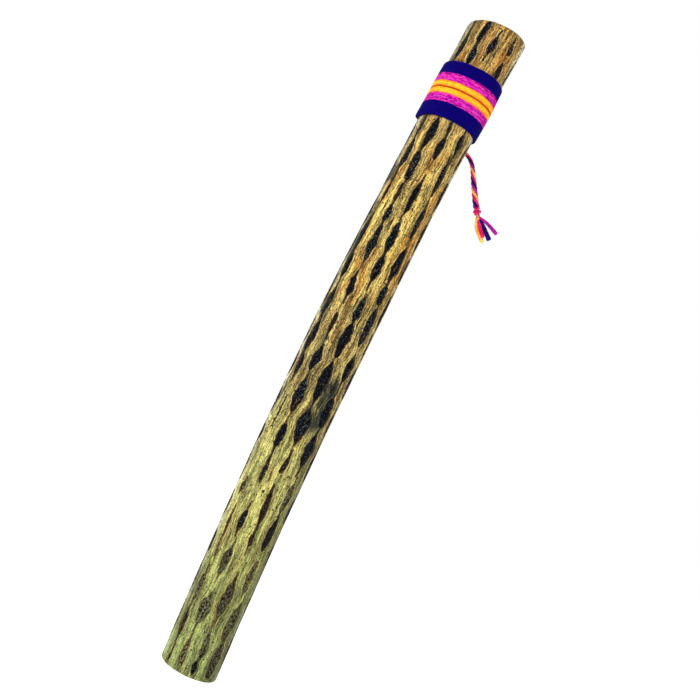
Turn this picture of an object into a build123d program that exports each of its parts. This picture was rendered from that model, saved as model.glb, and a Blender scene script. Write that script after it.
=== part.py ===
from build123d import *
from math import asin, cos, degrees, pi, radians, sin, sqrt
import os
import random

# Rainstick: a dried cactus tube, a little bowed, that stands upright on its sawn lower end.
# Frame: +Z up, origin in the middle of the flat lower end, the tube bows towards -X.
# A bearing is an angle round the tube: 0 is the front (-Y) and +90 is the right (+X).

# ---- Driving dimensions (mm, degrees) ----
LENGTH = 600.0            # height of the tube on its centre line
TUBE_R = 25.6             # outer radius of the tube
WALL = 5.6                # thickness of its woody wall
BOW = 8.1                 # how far the middle of the tube bows out of line
TOP_CUT_TILT = 2.5        # slope of the upper saw cut, lower on the -X side
END_ROUNDING = 1.8        # rounding of the outer edge at both ends

COLUMNS = 12              # rows of windows, and rows of thorns, round the tube
COLUMN_STEP = 360 / COLUMNS

PITH_FIT = 0.955          # size of a pith plug as a share of its window
PITH_INSET = 0.9          # how far the pith lies below the outer surface
PITH_INNER_GAP = 0.35     # gap from the bore to the inner face of the pith

PLUG_THICKNESS = 12.0     # wooden disc in each end
PLUG_RECESS = 1.0         # how far the upper disc lies inside the tube; the lower one is flush
GLUE_WIDTH = 0.85         # ring of dried glue between disc and bore
FIT_GAP = 0.05            # clearance between pieces that touch

THORN_HEAD_R = 0.75       # radius of a thorn at its thick outer end
THORN_TIP_R = 0.15        # radius at its point
THORN_PAST_CENTRE = 8.0   # how far the point reaches past the centre line
THORN_PROUD = 0.25        # height of the cut thorn head above the surface
THORN_TURN = 32.4         # climb of the thorn helix in one turn
THORN_FIRST_Z = 28.0
THORN_LAST_Z = 576.0
THORN_BEARING = -5.0      # bearing of the first thorn row
THORN_WINDOW_GAP = 0.5    # least wood between a thorn and a window

STONE_R = 2.5             # radius of the largest stones
STONE_R_LEAST = 2.0
STONE_LANE_R = 16.5       # distance of the stones from the centre line
STONE_PITCH = 5.6         # height of one layer of stones
STONE_LAYERS = 8
STONE_GROUPS = 4

BAND_BOTTOM = 506.0       # woven sash: lower and upper edge
BAND_TOP = 556.4
BAND_THICKNESS = 2.4
BAND_EDGE = 0.9           # rounding of its edges
STITCHES = 9
STITCH_R = 0.4
STITCH_LENGTH = 5.0

CORD_ROOT = (12.0, 26.2, 501.4)   # middle of the knot that ties the cord to the sash
ROOT_KNOT_R = 2.6
TIE_R = 0.8               # yarn that ties the knot to the lower edge of the sash
STRAND_R = 0.85           # radius of one yarn strand
TWIST_R = 1.32            # distance of a strand from the middle of the cord
TWIST_PITCH = 20.5        # length of one turn of the twist
CORD_START = 4.1          # where the strands begin, measured from the root
WRAP_YARN_R = 0.85        # yarn of the knot
WRAP_TURNS = 3.0
WRAP_LENGTH = 5.6

BORE_R = TUBE_R - WALL
BOW_R = LENGTH ** 2 / (8 * BOW) + BOW / 2      # radius of the centre line
BOW_CENTRE_X = BOW_R - BOW                     # centre of the bow, level with the middle of the tube
MID_Z = LENGTH / 2

# ---- The windows in the front half, column by column ----
# Each is (upper end, lower end, bearing, width) and the columns are listed from left to right.
FRONT_WINDOWS = [
    [(586, 560.5, -55.6, 6.0), (504.5, 484.5, -51.0, 3.5), (482.5, 454, -51.0, 7.0), (441, 422, -52.0, 4.0),
     (407, 376, -57.0, 6.0), (374, 348.5, -54.5, 7.0), (340.5, 313.5, -54.5, 7.0), (309.5, 280.5, -53.0, 8.0),
     (278.5, 259, -51.0, 5.0), (239, 214, -44.0, 1.8), (162, 152.5, -49.0, 5.0), (142.5, 112.5, -44.0, 2.5),
     (109.5, 96.5, -43.0, 2.5), (82.5, 55.5, -45.0, 5.0), (49, 26, -47.0, 5.5), (11, 3, -46.0, 3.0)],
    [(604, 577, -24.5, 5.5), (573, 556.5, -23.0, 5.5), (505.5, 475, -22.3, 6.0), (473, 445, -22.3, 6.5),
     (443, 424, -23.5, 3.5), (422, 405, -23.0, 5.5), (403, 370, -22.5, 6.0), (354.5, 336.5, -22.0, 5.5),
     (320.5, 301.5, -22.0, 4.0), (289.5, 267.5, -21.0, 6.5), (259, 230, -20.7, 8.0), (220, 198, -20.0, 6.0),
     (189, 166, -19.0, 3.5), (142.5, 122.5, -18.0, 5.0), (109.5, 84.5, -15.6, 6.0), (66.5, 43, -16.0, 8.5),
     (28, 3, -17.0, 5.0)],
    [(589, 571, 3.8, 5.0), (504.5, 495.5, 6.5, 2.5), (491.5, 470.5, 7.8, 5.0), (449, 419, 6.7, 5.0),
     (410, 382, 6.7, 6.5), (379, 355.5, 7.8, 7.0), (339.5, 318.5, 11.6, 5.5), (316.5, 285.5, 11.8, 7.0),
     (281.5, 245, 10.5, 8.5), (239, 208, 11.0, 9.5), (195, 180, 11.6, 3.5), (165, 134.5, 12.0, 4.5),
     (126.5, 115.5, 13.0, 4.0), (84.5, 53.5, 14.5, 7.5), (39, 17, 13.4, 5.0), (15, 3, 12.0, 6.0)],
    [(590, 580, 39.0, 4.0), (572, 555.5, 40.0, 4.5), (502.5, 483.5, 42.0, 6.0), (473.5, 446, 39.5, 5.0),
     (432, 403, 41.0, 5.0), (393, 360.5, 41.0, 7.5), (357.5, 340.5, 42.5, 7.0), (338.5, 301.5, 45.0, 7.5),
     (292.5, 269.5, 47.0, 7.5), (265.5, 256, 35.0, 3.5), (254, 227, 46.7, 9.5), (220, 191, 45.0, 9.0),
     (176, 152.5, 47.0, 6.0), (143.5, 115.5, 45.0, 7.0), (106.5, 76.5, 43.0, 6.0), (65.5, 36, 45.6, 8.0),
     (33, 3, 46.7, 8.0)],
    [(580, 558.5, 74.0, 5.0), (495.5, 470.5, 72.0, 6.0), (463, 434, 72.0, 6.5), (425, 395, 73.0, 7.0),
     (389, 364, 72.5, 6.0), (353.5, 324.5, 74.0, 7.5), (318.5, 293.5, 75.0, 6.0), (285.5, 256, 76.0, 8.0),
     (244, 220, 75.0, 6.5), (208, 180, 76.0, 7.0), (165, 140.5, 75.5, 6.0), (123.5, 103.5, 75.0, 5.5),
     (82.5, 60.5, 76.0, 6.5), (42, 15, 75.5, 6.0)],
]

# Columns on the back: the same growth, so lengths, widths and gaps come from the same ranges.
BACK_COLUMN_BEARINGS = [105, 135, 165, 195, 225, 255, 283]
BACK_DRIFT = 8.0                  # how far a column turns round the tube from top to bottom
BACK_LENGTHS = (17.0, 33.0)
BACK_WIDTHS = (4.5, 8.5)
BACK_GAPS = (2.5, 15.0)
BACK_TOP_Z = 596.0
BACK_BOTTOM_Z = 6.0

# The middle line of the twisted cord beyond its root: x and z, in the plane y = CORD_ROOT[1].
CORD_LINE = [(21.5, 501.6), (30.0, 495.4), (38.0, 481.7), (48.5, 463.4)]
KNOT_CENTRE = (52.5, 457.3)
KNOT_END = (55.0, 453.4)

# The loose tails: middle point and tip (x, z), and how far they stand out of the cord's plane.
TAILS = {
    "yellow": ((57.0, 443.7), (68.5, 436.1), 0.0),
    "pink": ((60.6, 447.4), (66.4, 441.3), 2.0),
    "navy": ((63.8, 448.8), (72.2, 441.7), 0.3),
    "magenta": ((64.5, 453.6), (76.0, 449.2), -2.2),
}
STRAND_PHASE = {"navy": 90, "magenta": 180, "yellow": 270, "pink": 0}   # at the lower end of the knot


def centre_x(z):
    """x of the bowed centre line at height z."""
    return BOW_CENTRE_X - sqrt(BOW_R ** 2 - (z - MID_Z) ** 2)


def bowed_rod(radius, low, high):
    """A round rod along the bowed centre line, cut level at both heights."""
    reach = degrees(asin(MID_Z / BOW_R)) + 0.3
    axis = Axis((BOW_CENTRE_X, 0, MID_Z), (0, 1, 0))
    section = Plane(origin=(-BOW, 0, MID_Z), z_dir=(0, 0, 1)) * Circle(radius)
    rod = revolve(section.rotate(axis, -reach), axis=axis, revolution_arc=2 * reach)
    slab = Pos(0, 0, (low + high) / 2) * Box(4 * TUBE_R, 4 * TUBE_R, high - low)
    return rod & slab


def surface_plane(z, bearing, radius):
    """Plane that faces straight out of the tube: x runs round it and y runs along it."""
    b = radians(bearing)
    lean = asin((z - MID_Z) / BOW_R)
    along = Vector(sin(lean), 0, cos(lean))
    across = along.cross(Vector(sin(b), -cos(b), 0)).normalized()
    outward = across.cross(along)
    return Plane(origin=Vector(centre_x(z), 0, z) + outward * radius, x_dir=across, z_dir=outward)


def above_top_cut():
    """Everything above the sloping upper saw cut."""
    return Pos(0, 0, LENGTH) * Rot(0, -TOP_CUT_TILT, 0) * Pos(0, 0, 50) * Box(200, 200, 100)


def back_column(bearing, rng):
    """Windows of one column on the back, grown downwards from the top."""
    windows = []
    top = BACK_TOP_Z - rng.uniform(0, 12)
    while top - BACK_LENGTHS[0] > BACK_BOTTOM_Z:
        bottom = max(top - rng.uniform(*BACK_LENGTHS), BACK_BOTTOM_Z)
        middle = (top + bottom) / 2
        turn = BACK_DRIFT * (0.5 - middle / LENGTH) + rng.uniform(-1.5, 1.5)
        windows.append((top, bottom, bearing + turn, rng.uniform(*BACK_WIDTHS)))
        top = bottom - rng.uniform(*BACK_GAPS)
    return windows


def all_windows():
    rng = random.Random(7)
    columns = FRONT_WINDOWS + [back_column(b, rng) for b in BACK_COLUMN_BEARINGS]
    return [window for column in columns for window in column]


def window_prism(window, inner, outer, scale=1.0):
    """A slim elliptical prism that points straight out of the tube between two radii."""
    top, bottom, bearing, width = window
    plane = surface_plane((top + bottom) / 2, bearing, inner)
    outline = Ellipse(scale * width / 2, scale * (top - bottom) / 2)
    return extrude(plane * outline, amount=outer - inner)


def cactus_shell(windows):
    tube = bowed_rod(TUBE_R, 0, LENGTH + 5) - above_top_cut()
    rims = [e for e in tube.edges() if e.center().Z < 1 or e.center().Z > LENGTH - 3]
    tube = fillet(rims, END_ROUNDING)
    tube -= bowed_rod(BORE_R, -5, LENGTH + 5)
    return tube - [window_prism(w, BORE_R - 4, TUBE_R + 3) for w in windows]


def dried_pith(windows):
    inner = BORE_R + PITH_INNER_GAP
    outer = TUBE_R - PITH_INSET
    plugs = []
    for window in windows:
        plug = window_prism(window, inner, outer, PITH_FIT)
        if window[0] > LENGTH - 2:
            plug -= above_top_cut()
        plugs.append(plug)
    return Compound(children=plugs)


def glue_ring(low, high):
    outer = BORE_R - FIT_GAP
    return bowed_rod(outer, low, high) - bowed_rod(outer - GLUE_WIDTH + FIT_GAP, low - 1, high + 1)


def clear_of_windows(z, bearing, windows):
    """True where a thorn at this place has wood all round it, down to the bore."""
    margin = THORN_HEAD_R + THORN_WINDOW_GAP
    for top, bottom, middle_bearing, width in windows:
        across = radians((bearing - middle_bearing + 180) % 360 - 180) * BORE_R
        half_h = (top - bottom) / 2 + margin
        along = (z - (top + bottom) / 2) / half_h
        if abs(along) < 1 and abs(across) < width / 2 * sqrt(1 - along ** 2) + margin:
            return False
    return True


def thorn(z, bearing):
    """One thorn, head outwards, that points at the centre line and a little past it."""
    under_band = BAND_BOTTOM - 2 < z < BAND_TOP + 2
    head = TUBE_R if under_band else TUBE_R + THORN_PROUD
    length = head + THORN_PAST_CENTRE
    needle = Cone(THORN_TIP_R, THORN_HEAD_R, length, align=(Align.CENTER, Align.CENTER, Align.MIN))
    return surface_plane(z, bearing, -THORN_PAST_CENTRE).location * needle


def thorn_row(row, windows):
    bearing = THORN_BEARING + COLUMN_STEP * row
    z = THORN_FIRST_Z + THORN_TURN * row / COLUMNS
    thorns = []
    while z < THORN_LAST_Z:
        if clear_of_windows(z, bearing, windows):
            thorns.append(thorn(z, bearing))
        z += THORN_TURN
    return Compound(children=thorns)


def stones(group):
    """Stones of every fourth lane between the thorn rows, heaped on the lower disc."""
    rng = random.Random(20 + group)
    heap = []
    first = PLUG_THICKNESS + 1.2 * STONE_R
    for lane in range(group, COLUMNS, STONE_GROUPS):
        bearing = THORN_BEARING + COLUMN_STEP * (lane + 0.5)
        for layer in range(STONE_LAYERS):
            radius = rng.uniform(STONE_R_LEAST, STONE_R)
            place = surface_plane(first + STONE_PITCH * layer, bearing, STONE_LANE_R)
            heap.append(place.location * Sphere(radius))
    return Compound(children=heap)


def woven_band():
    band = bowed_rod(TUBE_R + BAND_THICKNESS, BAND_BOTTOM, BAND_TOP)
    rims = [e for e in band.edges() if e.length > TUBE_R]
    band = fillet(rims, BAND_EDGE)
    return band - bowed_rod(TUBE_R + FIT_GAP, BAND_BOTTOM - 5, BAND_TOP + 5)


def band_stitching():
    """Slanting stitches across the seam of the sash, at the back."""
    spacing = (BAND_TOP - BAND_BOTTOM) / STITCHES
    radius = TUBE_R + BAND_THICKNESS + STITCH_R + 0.15
    stitches = []
    for i in range(STITCHES):
        plane = surface_plane(BAND_BOTTOM + spacing * (i + 0.5), 180, radius)
        lean = Rot(0, 0, 25) * Rot(0, 90, 0)
        stitches.append(plane.location * lean * Cylinder(STITCH_R, STITCH_LENGTH))
    return Compound(children=stitches)


def cord_tie():
    """Short yarn from the lower edge of the sash to the knot, just clear of both."""
    root = Vector(*CORD_ROOT)
    axis = Vector(centre_x(BAND_BOTTOM), 0, BAND_BOTTOM)
    outward = Vector(root.X - axis.X, root.Y, 0).normalized()
    edge = axis + outward * (TUBE_R + BAND_THICKNESS / 2)
    down = (root - edge).normalized()
    length = (root - edge).length - ROOT_KNOT_R - 6 * FIT_GAP
    yarn = Cylinder(TIE_R, length - TIE_R, align=(Align.CENTER, Align.CENTER, Align.MIN))
    return Plane(origin=edge + down * TIE_R, z_dir=down).location * yarn


def cord_path():
    """Middle line of the twisted cord from its root to the lower end of the knot."""
    y = CORD_ROOT[1]
    points = [CORD_ROOT] + [(x, y, z) for x, z in CORD_LINE + [KNOT_CENTRE, KNOT_END]]
    return Spline(*points)


def twist_point(path, along, phase, radius, pitch):
    """Point on a helix round the cord, a given length along it from the root."""
    share = along / path.length
    here = path @ share
    way = path % share
    side = Vector(0, 1, 0)
    up = way.cross(side)
    angle = radians(phase) + 2 * pi * (path.length - along) / pitch
    return here + side * (radius * cos(angle)) + up * (radius * sin(angle))


def cord_strand(colour, path):
    """One yarn: twisted with the others down to the knot, then loose to its tip."""
    y = CORD_ROOT[1]
    end = path.length
    steps = 30
    points = []
    for i in range(steps + 1):
        along = CORD_START + (end - CORD_START) * i / steps
        points.append(twist_point(path, along, STRAND_PHASE[colour], TWIST_R, TWIST_PITCH))
    middle, tip, stand_out = TAILS[colour]
    points.append(Vector(middle[0], y + stand_out, middle[1]))
    points.append(Vector(tip[0], y + stand_out, tip[1]))
    line = Spline(*points)
    return sweep(Plane(origin=line @ 0, z_dir=line % 0) * Circle(STRAND_R), path=line)


def knot_wrap(path):
    """Yarn coiled three times round the strands."""
    radius = TWIST_R + STRAND_R + WRAP_YARN_R + 0.25
    pitch = WRAP_LENGTH / WRAP_TURNS
    start = path.length - WRAP_LENGTH - 1.6
    steps = int(16 * WRAP_TURNS)
    points = [
        twist_point(path, start + WRAP_LENGTH * i / steps, 0, radius, pitch) for i in range(steps + 1)
    ]
    line = Spline(*points)
    return sweep(Plane(origin=line @ 0, z_dir=line % 0) * Circle(WRAP_YARN_R), path=line)


def build():
    windows = all_windows()
    cord = cord_path()
    plug_r = BORE_R - FIT_GAP - GLUE_WIDTH
    low_disc = (0, PLUG_THICKNESS)
    high_disc = (LENGTH - 2 * PLUG_RECESS - PLUG_THICKNESS, LENGTH - 2 * PLUG_RECESS)
    nodes = {
        "cactus_shell": cactus_shell(windows),
        "dried_pith": dried_pith(windows),
        "plug_bottom": bowed_rod(plug_r, *low_disc),
        "plug_top": bowed_rod(plug_r, *high_disc),
        "plug_glue_bottom": glue_ring(*low_disc),
        "plug_glue_top": glue_ring(*high_disc),
        "woven_band": woven_band(),
        "band_stitching": band_stitching(),
        "cord_tie": cord_tie(),
        "cord_root_knot": Pos(*CORD_ROOT) * Sphere(ROOT_KNOT_R),
        "knot_wrap": knot_wrap(cord),
    }
    for row in range(COLUMNS):
        nodes[f"thorn_row_{row + 1:02d}"] = thorn_row(row, windows)
    for group in range(STONE_GROUPS):
        nodes[f"pebbles_{'abcd'[group]}"] = stones(group)
    for colour in TAILS:
        nodes[f"cord_strand_{colour}"] = cord_strand(colour, cord)
    return nodes


if __name__ == "__main__":
    os.makedirs("parts", exist_ok=True)
    for name, shape in build().items():
        export_step(shape, f"parts/{name}.step", write_pcurves=False)
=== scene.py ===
"""Rainstick: the visual model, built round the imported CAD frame.

Lengths are in millimetres until a mesh is made. A bearing is an angle round the tube, in radians:
0 is the front (-Y) and it grows to the right (+X).
"""

import math
from types import SimpleNamespace

import bmesh
import bpy
import numpy as np
from mathutils import Matrix, Vector


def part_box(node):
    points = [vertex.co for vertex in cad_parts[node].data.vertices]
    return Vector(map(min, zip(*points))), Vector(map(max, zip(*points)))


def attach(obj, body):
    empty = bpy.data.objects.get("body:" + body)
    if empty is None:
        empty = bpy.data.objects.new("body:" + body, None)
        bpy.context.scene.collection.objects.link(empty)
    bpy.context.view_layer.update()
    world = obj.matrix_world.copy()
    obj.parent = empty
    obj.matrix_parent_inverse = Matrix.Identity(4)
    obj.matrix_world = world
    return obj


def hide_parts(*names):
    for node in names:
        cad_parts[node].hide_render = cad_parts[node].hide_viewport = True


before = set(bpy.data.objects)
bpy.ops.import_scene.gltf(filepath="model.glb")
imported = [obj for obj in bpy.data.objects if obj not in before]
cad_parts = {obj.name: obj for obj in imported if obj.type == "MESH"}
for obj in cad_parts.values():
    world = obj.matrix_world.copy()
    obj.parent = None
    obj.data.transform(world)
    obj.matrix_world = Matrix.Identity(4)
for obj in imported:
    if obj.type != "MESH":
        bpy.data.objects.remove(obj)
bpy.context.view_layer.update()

MM = 0.001
TAU = 2 * math.pi


# ---- sizes, from the frame
def box_mm(node):
    low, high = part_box(node)
    return np.array(low) / MM, np.array(high) / MM


shell_low, shell_high = box_mm("cactus_shell")
TUBE_R = (shell_high[1] - shell_low[1]) / 2
BOW = -shell_low[0] - TUBE_R
TOP_TILT = math.radians(2.5)  # slope of the upper saw cut
LENGTH = shell_high[2] - TUBE_R * math.tan(TOP_TILT)
BOW_R = LENGTH ** 2 / (8 * BOW) + BOW / 2
WALL = 5.6
BORE_R = TUBE_R - WALL
WINDOW_OVER_PITH = 1 / 0.955  # a window against the pith plug in it

# Outer radius of the real, uneven tube at a few heights.
GIRTH = [(0, 24.9), (60, 25.2), (140, 25.4), (230, 25.6), (310, 25.9), (370, 25.7), (430, 25.15),
         (490, 25.2), (540, 25.6), (600, 26.3)]


def centre_x(z):
    """Where the bowed centre line is at a height."""
    return BOW_R - BOW - np.sqrt(BOW_R ** 2 - (z - LENGTH / 2) ** 2)


def smooth(x):
    """An even step from 0 to 1 as x goes from 0 to 1."""
    x = np.clip(x, 0, 1)
    return x * x * (3 - 2 * x)


def bell(x, power=2):
    """1 at x = 0, falling away on both sides: a higher power gives a flatter top."""
    return np.exp(-x ** power)


def wrap(angle):
    """The same angle, between -pi and pi."""
    return (angle + math.pi) % TAU - math.pi


def unit(vectors):
    return vectors / np.linalg.norm(vectors, axis=-1, keepdims=True)


def circle(count):
    """Angles at even steps round a turn."""
    return np.linspace(0, TAU, count, endpoint=False)


def headings(path):
    """Direction of the path at each of its points."""
    return unit(np.gradient(path, axis=0))


def run_length(path):
    """Length of the path up to each of its points."""
    return np.concatenate([[0], np.cumsum(np.linalg.norm(np.diff(path, axis=0), axis=1))])


def at_lengths(lengths, run, values):
    """Values of a path's points, found at other lengths along it."""
    return np.stack([np.interp(lengths, run, column) for column in values.T], -1)


def noise2(bearing, z, across, along, seed):
    """Smooth noise, 0 to 1, that closes round the tube: cells per turn and mm per cell."""
    table = np.random.default_rng(seed).random((256, across))
    u = np.asarray(bearing) / TAU * across
    v = np.asarray(z) / along
    iu, iv = np.floor(u).astype(int), np.floor(v).astype(int)
    fu, fv = smooth(u - iu), smooth(v - iv)

    def row(i):
        return table[i % 256, iu % across] * (1 - fu) + table[i % 256, (iu + 1) % across] * fu

    return row(iv) * (1 - fv) + row(iv + 1) * fv


def waver(*noise):
    """The same noise, from -0.5 to 0.5."""
    return noise2(*noise) - 0.5


def surface_r(bearing, z):
    """Outer radius of the wood, without its windows."""
    heights, radii = zip(*GIRTH)
    girth = np.interp(z, heights, radii)
    lumps = noise2(bearing, z, 6, 46, 1) + 0.5 * noise2(bearing, z, 13, 24, 2) - 0.75
    return girth + 0.42 * lumps


def rim_rise(bearing):
    """How far the sloping upper cut stands above its middle."""
    return TUBE_R * np.sin(bearing) * math.tan(TOP_TILT)


def on_tube(bearing, z, radius):
    """Points at a bearing, height and distance from the bowed centre line."""
    x = centre_x(z) + radius * np.sin(bearing)
    y = -radius * np.cos(bearing)
    return np.stack(np.broadcast_arrays(x, y, z), -1)


# ---- mesh building
ATTRIBUTE_KINDS = {1: ("FLOAT", "value"), 3: ("FLOAT_VECTOR", "vector"), 4: ("FLOAT_COLOR", "color")}


class Piece:
    """A mesh made of lofted rings of points, with values for the materials at each point."""

    def __init__(self, name):
        self.name = name
        self.points, self.faces, self.values = [], [], {}
        self.count = 0

    def loft(self, rings, closed=False, **values):
        """Skin over rings (rows, columns, 3): closed joins the last to the first, else both are capped."""
        rows, cols = rings.shape[:2]
        index = self.count + np.arange(rows * cols).reshape(rows, cols)
        low = index if closed else index[:-1]
        high = np.roll(index, -1, axis=0) if closed else index[1:]
        quads = np.stack([low, np.roll(low, -1, axis=1), np.roll(high, -1, axis=1), high], -1)
        self.faces += quads.reshape(-1, 4).tolist()
        if not closed:
            self.faces += [index[0][::-1].tolist(), index[-1].tolist()]
        self.points.append(rings.reshape(-1, 3))
        for key, value in values.items():
            full = np.broadcast_to(value, (rows, cols, np.shape(value)[-1]))
            self.values.setdefault(key, []).append(full.reshape(rows * cols, -1))
        self.count += rows * cols

    def build(self, material, body, replaced):
        mesh = bpy.data.meshes.new(self.name)
        mesh.from_pydata((np.concatenate(self.points) * MM).tolist(), [], self.faces)
        for key, parts in self.values.items():
            data = np.concatenate(parts)
            kind, field = ATTRIBUTE_KINDS[data.shape[1]]
            layer = mesh.attributes.new(key, kind, "POINT")
            layer.data.foreach_set(field, data.astype(np.float32).ravel())
        work = bmesh.new()
        work.from_mesh(mesh)
        bmesh.ops.recalc_face_normals(work, faces=work.faces)
        work.to_mesh(mesh)
        work.free()
        mesh.polygons.foreach_set("use_smooth", [True] * len(mesh.polygons))
        mesh.materials.append(material)
        piece = bpy.data.objects.new(self.name, mesh)
        bpy.context.scene.collection.objects.link(piece)
        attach(piece, body)
        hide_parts(replaced)


def islands(node):
    """The separate solids of a CAD node, each as an array of its points."""
    work = bmesh.new()
    work.from_mesh(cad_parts[node].data)
    bmesh.ops.remove_doubles(work, verts=work.verts, dist=1e-6)
    seen, found = set(), []
    for start in work.verts:
        if start.index in seen:
            continue
        seen.add(start.index)
        stack, points = [start], []
        while stack:
            vert = stack.pop()
            points.append(tuple(vert.co))
            for edge in vert.link_edges:
                other = edge.other_vert(vert)
                if other.index not in seen:
                    seen.add(other.index)
                    stack.append(other)
        found.append(np.array(points) / MM)
    work.free()
    return found


def rings_round(path, radius, side, up, sides, phase=0.0):
    """Rings round a path of points: radius is one number or one for each point."""
    turn = (circle(sides) + phase)[None, :, None]
    ring = side[:, None] * np.cos(turn) + up[:, None] * np.sin(turn)
    return path[:, None] + ring * np.broadcast_to(radius, len(path))[:, None, None]


def tube(path, radius, sides=8, phase=0.0):
    """Rings square to a bent path that never runs along Y."""
    way = headings(path)
    side = unit(np.cross(way, (0.0, 1.0, 0.02)))
    return rings_round(path, radius, side, np.cross(way, side), sides, phase)


def straight_tube(path, radius, sides):
    """Rings square to a nearly straight path in any direction."""
    way = unit(path[-1:] - path[:1])
    helper = (0.0, 0.0, 1.0) if abs(way[0, 2]) < 0.8 else (1.0, 0.0, 0.0)
    side = unit(np.cross(way, helper))
    return rings_round(path, radius, side, np.cross(way, side), sides)


# ---- materials
def srgb(red, green, blue):
    """A display colour, 0 to 255, as a linear colour."""
    def channel(c):
        c /= 255
        return c / 12.92 if c <= 0.04045 else ((c + 0.055) / 1.055) ** 2.4
    return (channel(red), channel(green), channel(blue), 1.0)


class Nodes:
    """Short forms for building the node tree of a material or a world."""

    def __init__(self, owner):
        self.owner = owner
        owner.use_nodes = True
        self.tree = owner.node_tree
        self.tree.nodes.clear()

    def node(self, kind, inputs, **settings):
        node = self.tree.nodes.new(kind)
        for key, value in settings.items():
            setattr(node, key, value)
        for key, value in inputs.items():
            if isinstance(value, bpy.types.NodeSocket):
                self.tree.links.new(value, node.inputs[key])
            else:
                node.inputs[key].default_value = value
        return node

    def add(self, kind, inputs, out=0, **settings):
        return self.node(kind, inputs, **settings).outputs[out]

    def value(self, name, out="Fac"):
        """A value that the mesh carries."""
        return self.add("ShaderNodeAttribute", {}, out, attribute_name=name)

    def place(self, z=1.0):
        """The point in mm, stretched along the tube."""
        return self.stretch(self.add("ShaderNodeTexCoord", {}, "Object"), 1 / MM, 1 / MM, z / MM)

    def split(self, colour, out):
        return self.add("ShaderNodeSeparateColor", {0: colour}, out)

    def axis(self, vector, out):
        return self.add("ShaderNodeSeparateXYZ", {0: vector}, out)

    def stretch(self, vector, x, y, z):
        return self.add("ShaderNodeVectorMath", {0: vector, 1: (x, y, z)}, operation="MULTIPLY")

    def maths(self, operation, a, b=0.0):
        return self.add("ShaderNodeMath", {0: a, 1: b}, operation=operation)

    def times(self, a, b):
        return self.maths("MULTIPLY", a, b)

    def plus(self, a, b):
        return self.maths("ADD", a, b)

    def off(self, value, middle):
        """How far a value is from a middle one."""
        return self.maths("ABSOLUTE", self.maths("SUBTRACT", value, middle))

    def span(self, value, low, high, to_low=0.0, to_high=1.0):
        """A smooth step between two values."""
        inputs = {0: value, 1: low, 2: high, 3: to_low, 4: to_high}
        return self.add("ShaderNodeMapRange", inputs, interpolation_type="SMOOTHSTEP")

    def noise(self, vector, scale=1.0, detail=2.0, rough=0.5):
        inputs = {"Vector": vector, "Scale": scale, "Detail": detail, "Roughness": rough}
        return self.add("ShaderNodeTexNoise", inputs)

    def mix(self, amount, a, b, blend="MIX"):
        return self.add("ShaderNodeMix", {0: amount, 6: a, 7: b}, 2, data_type="RGBA", blend_type=blend)

    def tint(self, amount, colour, stain_and_shadow):
        """A colour multiplied by another, as far as the amount says."""
        return self.mix(amount, colour, self.mix(1.0, colour, stain_and_shadow, "MULTIPLY"))

    def shade(self, colour, dark, light, value, low=0.38, high=0.62):
        """A colour made darker or lighter as a value goes from low to high."""
        grey = self.span(value, low, high, dark, light)
        return self.mix(1.0, colour, grey, "MULTIPLY")

    def ramp(self, value, *stops):
        """Display colours that blend from one to the next: each stop is a value and its colour."""
        node = self.node("ShaderNodeValToRGB", {0: value})
        while len(node.color_ramp.elements) < len(stops):
            node.color_ramp.elements.new(1.0)
        for element, (place, *colour) in zip(node.color_ramp.elements, stops):
            element.position = place
            element.color = srgb(*colour)
        return node.outputs[0]

    def bump(self, height, distance, strength=1.0, normal=None):
        inputs = {"Height": height, "Distance": distance * MM, "Strength": strength}
        if normal:
            inputs["Normal"] = normal
        return self.add("ShaderNodeBump", inputs)

    def finish(self, **inputs):
        """Join the shader to the output and give the material."""
        shader = self.add("ShaderNodeBsdfPrincipled", {k.replace("_", " "): v for k, v in inputs.items()})
        self.node("ShaderNodeOutputMaterial", {0: shader})
        return self.owner


def new_material(name):
    return Nodes(bpy.data.materials.new(name))


def wood_patterns(n):
    """Noises drawn out along the tube, and the marks that the wall's mesh carries."""
    grain = n.value("grain", "Vector")
    marks = n.value("marks", "Color")

    def noise(across, along, detail, rough=0.5):
        return n.noise(n.stretch(grain, across, across, along), 1.0, detail, rough)

    return SimpleNamespace(
        height=n.maths("DIVIDE", n.axis(grain, 2), LENGTH),
        front=n.span(n.axis(grain, 0), -0.3 * TUBE_R, 0.05 * TUBE_R),
        east=n.maths("DIVIDE", n.axis(grain, 1), TUBE_R),
        gap=n.split(marks, 0), halo=n.split(marks, 1), stain_and_shadow=n.split(marks, 2),
        seam=n.value("seam"), dots=n.value("dots"), cut=n.value("cut"),
        broad=noise(0.26, 0.022, 3.0, 0.6), streaks=noise(0.7, 0.055, 4.0, 0.68),
        fibres=noise(1.15, 0.2, 3.0, 0.7), grit=noise(0.95, 0.55, 3.0, 0.75),
        patches=noise(0.075, 0.018, 3.0), veins=noise(0.17, 0.022, 3.0, 0.6),
        fissures=noise(0.4, 0.026, 2.0, 0.55), pits=noise(0.55, 0.4, 1.0),
        rays=noise(1.2, 1.2, 4.0),
    )


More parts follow.
